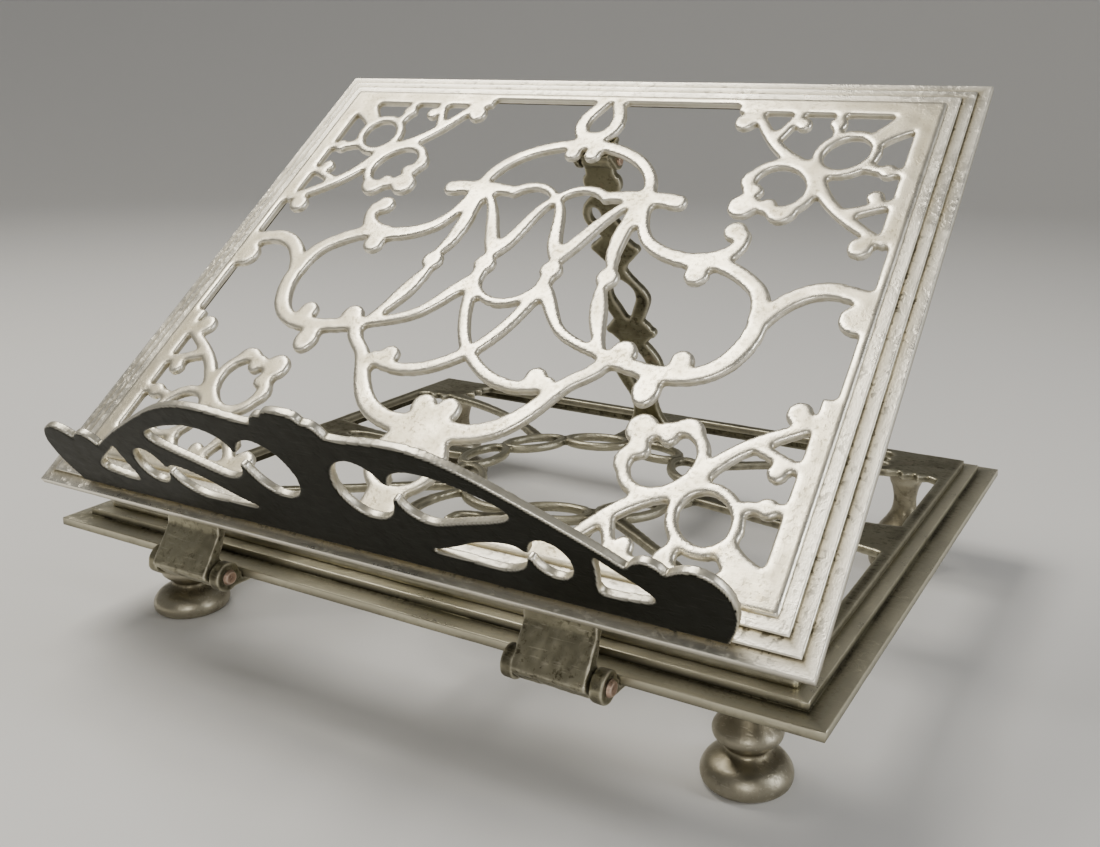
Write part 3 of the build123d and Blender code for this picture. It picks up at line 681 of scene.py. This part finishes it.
def link_tree():
    tree, graph = new_tree("ring_of_links", LINK_SIZES)
    given = graph.tree.nodes.new("NodeGroupInput")
    value = {s.name: Wire(graph, s) for s in given.outputs if s.name}

    def scaled(geometry, x, y, z):
        scale = graph.node("ShaderNodeCombineXYZ", None, {0: x, 1: y, 2: z})
        return graph.node("GeometryNodeTransform", None, {"Geometry": geometry, "Scale": scale})

    oval = graph.node("GeometryNodeCurvePrimitiveCircle", None, {"Resolution": 40, "Radius": 1.0})
    oval = scaled(oval, value["Length"], value["Width"], 1.0)
    bar = graph.node("GeometryNodeCurvePrimitiveCircle", None,
                     {"Resolution": 12, "Radius": value["Bar"]})
    link = graph.node("GeometryNodeCurveToMesh", None, {"Curve": oval, "Profile Curve": bar})
    link = graph.node("GeometryNodeSetShadeSmooth", None, {0: link})
    ring = graph.node("GeometryNodeMeshCircle", None, {"Vertices": value["Count"], "Radius": 1.0})
    ring = scaled(ring, value["Across"], value["Along"], 1.0)
    turn = graph.node("GeometryNodeInputIndex") * (2 * math.pi) / value["Count"] + math.pi / 2
    spin = graph.node("ShaderNodeCombineXYZ", None, {2: turn})
    links = graph.node("GeometryNodeInstanceOnPoints", None,
                       {"Points": ring, "Instance": link, "Rotation": spin})
    close_tree(graph, links, value["Material"])
    return tree


RING_BACK = 143.0
LINK_PROUD = 0.4
base_low, base_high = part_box("base_frame")
blank = bpy.data.objects.new("ring_links", bpy.data.meshes.new("ring_links"))
SCENE.collection.objects.link(blank)
ring_links = grow_nodes(blank, link_tree(), aged, **LINK_SIZES)
outward(ring_links.data)
ring_links.data.transform(Matrix.Translation(
    (0, base_low[1] + RING_BACK * MM, base_high[2] - LINK_SIZES["Bar"] + LINK_PROUD * MM)))
mark_rub(ring_links, 1.0 * MM, strength=0.5, blur=1)
hand_over(ring_links, "base", "aged_brass")

# %% [markdown]
# ## The book ledge
# The ledge is a shaped and pierced plate that keeps the book from sliding off. Its front is
# nearly black with painted shade and a painted dark reflection, and its edges are worn bright.
# The pegs that hold it stop just short of the front, so they are added before the rebuild
# and close their own holes.

# %% Book ledge
ledge_turn = laid_square(LEDGE_TILT)
ledge_shape = merged("book_ledge", ledge_turn, filled_by="ledge_pegs")
book_ledge = soften(ledge_shape, "ledge_plate", ledge_brass, 0.62, 3, waver=0.08, swell=0.05)
# Painted shade and dark reflection: the ledge's front face goes nearly black.
mark_front(book_ledge, (0, -1, 0))
turn_back(book_ledge, ledge_turn)
hand_over(book_ledge, "desk", "ledge_brass", "book_ledge")

# %% [markdown]
# ## Prop, brackets and hinge leaves
# These small castings were filed by eye. They are rebuilt from finer voxels, and wander a
# little more than the plates do.

# %% Small castings
prop_turn = laid_square(PROP_TILT)
prop = soften(merged("prop", prop_turn), "prop_strut", aged, 0.55, 4, waver=0.12)
turn_back(prop, prop_turn)
hand_over(prop, "prop", "aged_brass", "prop")

SMALL = {
    "desk_hinge_left": ("desk", DESK_TILT, 0.34, lug_brass),
    "desk_hinge_right": ("desk", DESK_TILT, 0.34, lug_brass),
    "base_hinge_left": ("base", 0.0, 0.22, aged),
    "base_hinge_right": ("base", 0.0, 0.22, aged),
    "prop_bracket": ("desk", DESK_TILT, 0.12, aged),
    "prop_stop": ("base", 0.0, 0.15, aged),
}
for node, (body, tilt, waver, finish) in SMALL.items():
    turn = laid_square(tilt)
    part = soften(merged(node, turn), node + "_casting", finish, 0.42, 3,
                  waver=waver, wave_size=3.5)
    turn_back(part, turn)
    hand_over(part, body, "aged_brass", node)

# %% [markdown]
# ## Turned feet
# The four feet were turned on a lathe from bar, so their shape is a profile spun about an
# axis. The profile below is the measured one, from the disc on the table to the collar
# under the base, passed through a smooth curve.

# %% Turned feet
FOOT_PROFILE = [
    (12.6, 0.0), (14.2, 0.4), (15.4, 1.9), (15.4, 4.8), (13.2, 8.0), (8.6, 10.6), (7.5, 12.5),
    (9.3, 14.4), (11.6, 16.6), (11.7, 19.4), (8.6, 23.6), (6.0, 28.5), (5.3, 34.0), (6.2, 39.5),
    (7.6, 43.2), (7.8, 47.1),
]
SPOKES = 72


def smooth_line(points, steps):
    """A Catmull-Rom curve through the points."""
    line = []
    padded = [points[0], *points, points[-1]]
    for a, b, c, d in zip(padded, padded[1:], padded[2:], padded[3:]):
        a, b, c, d = (np.array(p) for p in (a, b, c, d))
        for i in range(steps):
            t = i / steps
            line.append(0.5 * (2 * b + (c - a) * t + (2 * a - 5 * b + 4 * c - d) * t ** 2
                               + (3 * b - a - 3 * c + d) * t ** 3))
    line.append(np.array(points[-1]))
    return line


def turned(name, profile, centre, material):
    shape = bmesh.new()
    rings = []
    for radius, height in profile:
        ring = []
        for i in range(SPOKES):
            angle = 2 * math.pi * i / SPOKES
            ring.append(shape.verts.new((
                centre[0] + radius * MM * math.cos(angle),
                centre[1] + radius * MM * math.sin(angle),
                centre[2] + height * MM,
            )))
        rings.append(ring)
    for below, above in zip(rings, rings[1:]):
        for i in range(SPOKES):
            j = (i + 1) % SPOKES
            shape.faces.new((below[i], below[j], above[j], above[i]))
    shape.faces.new(reversed(rings[0]))
    shape.faces.new(rings[-1])
    for face in shape.faces:
        face.smooth = len(face.verts) == 4
    return as_object(name, shape, material)


foot_line = smooth_line(FOOT_PROFILE, 4)
for end in ("front", "back"):
    for side in ("left", "right"):
        node = f"foot_{end}_{side}"
        low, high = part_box(node)
        centre = ((low[0] + high[0]) / 2, (low[1] + high[1]) / 2, low[2])
        foot = turned(f"turned_{node}", foot_line, centre, foot_brass)
        mark_rub(foot, 1.0 * MM, strength=0.8, blur=1)
        hand_over(foot, "base", "foot_brass", node)

# %% [markdown]
# ## Rivets and pegs
# Small round heads hold the hinge leaves, the bracket, the stop and the ledge. Each is the
# same dome, so a node tree puts one dome on every point, turned along its rivet and with a
# slightly different size as hand hammering gives. The points are the middles of the measured
# rivets.

# %% Node tree for rivet heads
RIVET_SIZES = {"Radius": 0.003, "Dome": 0.0012, "Seed": 7}


def rivet_tree():
    tree, graph = new_tree("rivet_heads", RIVET_SIZES)
    given = graph.tree.nodes.new("NodeGroupInput")
    value = {s.name: Wire(graph, s) for s in given.outputs if s.name}
    ball = graph.node("GeometryNodeMeshUVSphere", None,
                      {"Segments": 24, "Rings": 12, "Radius": 1.0})
    shape = graph.node("ShaderNodeCombineXYZ", None,
                       {0: value["Radius"], 1: value["Radius"], 2: value["Dome"]})
    dome = graph.node("GeometryNodeTransform", None, {"Geometry": ball, "Scale": shape})
    smooth = graph.node("GeometryNodeSetShadeSmooth", None, {0: dome})
    axis = graph.node("GeometryNodeInputNamedAttribute",
                      {"data_type": "FLOAT_VECTOR"}, {"Name": "axis"})
    turn = graph.node("FunctionNodeAlignRotationToVector", {"axis": "Z"}, {"Vector": axis})
    size = graph.node("FunctionNodeRandomValue", {"data_type": "FLOAT"},
                      {2: 0.92, 3: 1.0, "Seed": value["Seed"]}, out=1)
    heads = graph.node("GeometryNodeInstanceOnPoints", None,
                       {"Points": value["Geometry"], "Instance": smooth,
                        "Rotation": turn, "Scale": size})
    close_tree(graph, heads, value["Material"])
    return tree


def islands(node):
    """The corners of each separate solid in a node."""
    shape = merged(node)
    shape.verts.ensure_lookup_table()
    left = set(shape.verts)
    found = []
    while left:
        queue = [left.pop()]
        members = list(queue)
        while queue:
            for edge in queue.pop().link_edges:
                for vertex in edge.verts:
                    if vertex in left:
                        left.remove(vertex)
                        queue.append(vertex)
                        members.append(vertex)
        found.append(np.array([v.co for v in members]))
    shape.free()
    return found


def head_points(node, axis):
    """Where each head's rim lies, and the way it points: the far end of the solid along axis."""
    axis = np.array(Vector(axis).normalized())
    spots = []
    for places in islands(node):
        along = places @ axis
        across = places - np.outer(along, axis)
        middle = (across.max(axis=0) + across.min(axis=0)) / 2
        spots.append(middle + axis * along.max())
    return spots, axis


def rivets(name, body, slot, material, radius, dome, groups):
    spots, axes = [], []
    for node, axis in groups:
        found, way = head_points(node, axis)
        spots += [spot - way * dome for spot in found]
        axes += [way] * len(found)
    mesh = bpy.data.meshes.new(name)
    mesh.from_pydata([tuple(s) for s in spots], [], [])
    layer = mesh.attributes.new("axis", "FLOAT_VECTOR", "POINT")
    layer.data.foreach_set("vector", np.array(axes, dtype=np.float32).ravel())
    piece = bpy.data.objects.new(name, mesh)
    SCENE.collection.objects.link(piece)
    grow_nodes(piece, rivet_nodes, material, Radius=radius, Dome=dome,
               Seed=RIVET_SIZES["Seed"])
    if "axis" in piece.data.attributes:
        piece.data.attributes.remove(piece.data.attributes["axis"])
    mark_rub(piece, 0.4 * MM, strength=0.7, blur=1)
    hand_over(piece, body, slot, *[node for node, _ in groups])


rivet_nodes = rivet_tree()
under_desk = tuple(-c for c in desk_normal)
rivets("base_hinge_rivet_heads", "base", "aged_brass", aged, 3.0 * MM, 1.2 * MM,
       [("base_hinge_rivets", (0, 0, -1))])
rivets("stop_rivet_heads", "base", "aged_brass", aged, 2.0 * MM, 0.8 * MM,
       [("prop_stop_rivets", (0, 0, 1))])
rivets("desk_hinge_rivet_heads", "desk", "aged_brass", aged, 3.0 * MM, 1.2 * MM,
       [("desk_hinge_rivets", under_desk)])
rivets("peg_heads", "desk", "aged_brass", aged, 2.2 * MM, 0.9 * MM,
       [("ledge_pegs", under_desk), ("prop_bracket_rivets", under_desk)])

# %% [markdown]
# ## Pins
# The hinge pins are drawn wire with a hammered end, pinker than the castings. A fine rebuild
# rounds their ends.

# %% Pins
for node, body in (("hinge_pin_left", "base"), ("hinge_pin_right", "base"), ("prop_pin", "desk")):
    pin = soften(merged(node), node + "_wire", pin_brass, 0.28, 3)
    hand_over(pin, body, "pin_brass", node)

# %% [markdown]
# ## What is left of the measured solids
# The studs inside the feet can't be seen, and keep their own shape with the matching finish.

# %% Finish on the remaining solids
for name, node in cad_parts.items():
    finish = pin_brass if name == "foot_studs" else aged
    slots = node.data.materials
    for index in range(len(slots)):
        slots[index] = finish
    if len(slots) == 0:
        slots.append(finish)
print("nodes:", len(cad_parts))

# %% [markdown]
# ## Floor and light
# A pale matte floor that curves up all round, one broad soft light above and a little to
# the left, two weaker ones in front and on the right, and a dim room. Metal shows what is
# round it, so the size of the lights matters more than their strength.

# %% Floor and lights
def plain(name, shade, rough):
    material = bpy.data.materials.new(name)
    material.use_nodes = True
    shader = material.node_tree.nodes["Principled BSDF"]
    shader.inputs["Base Color"].default_value = shade
    shader.inputs["Roughness"].default_value = rough
    return material


WALL = 3.0
CURVE = 1.2
WALL_TOP = 2.2
sweep = bmesh.new()
line = [(0.0, 0.0), (WALL - CURVE, 0.0)]
line += [(WALL - CURVE + CURVE * math.sin(a), CURVE - CURVE * math.cos(a))
         for a in np.linspace(0.1, math.pi / 2, 12)]
line += [(WALL, WALL_TOP)]
edge = [sweep.verts.new((x, 0, z)) for x, z in line]
strip = [sweep.edges.new(pair) for pair in zip(edge, edge[1:])]
bmesh.ops.spin(sweep, geom=edge + strip, cent=(0, 0, 0), axis=(0, 0, 1), angle=2 * math.pi,
               steps=64, use_merge=True)
bmesh.ops.remove_doubles(sweep, verts=sweep.verts, dist=0.0001)
for face in sweep.faces:
    face.smooth = True
floor = as_object("floor", sweep, plain("pale_floor", colour(0.74, 0.735, 0.72), 0.6))
print("floor reaches", WALL, "m each way")


def soft_light(name, place, size, power, shade=(1, 1, 1), aim=(0, 0, 0.1)):
    data = bpy.data.lights.new(name, "AREA")
    data.shape = "RECTANGLE"
    data.size, data.size_y = size
    data.energy = power
    data.color = shade
    light = bpy.data.objects.new(name, data)
    light.location = place
    light.rotation_euler = (Vector(aim) - Vector(place)).to_track_quat("-Z", "Y").to_euler()
    SCENE.collection.objects.link(light)


soft_light("key", (-0.62, -0.10, 1.35), (0.9, 0.7), 19, (1.0, 0.955, 0.87))
soft_light("front", (0.7, -1.5, 0.8), (0.7, 0.35), 7, (1.0, 0.97, 0.92))
soft_light("side", (1.3, 0.1, 0.6), (0.3, 0.8), 7, (0.97, 0.98, 1.0))
world = bpy.data.worlds.new("room")
SCENE.world = world
world.use_nodes = True
world.node_tree.nodes["Background"].inputs["Color"].default_value = colour(0.82, 0.815, 0.80)
world.node_tree.nodes["Background"].inputs["Strength"].default_value = 0.26
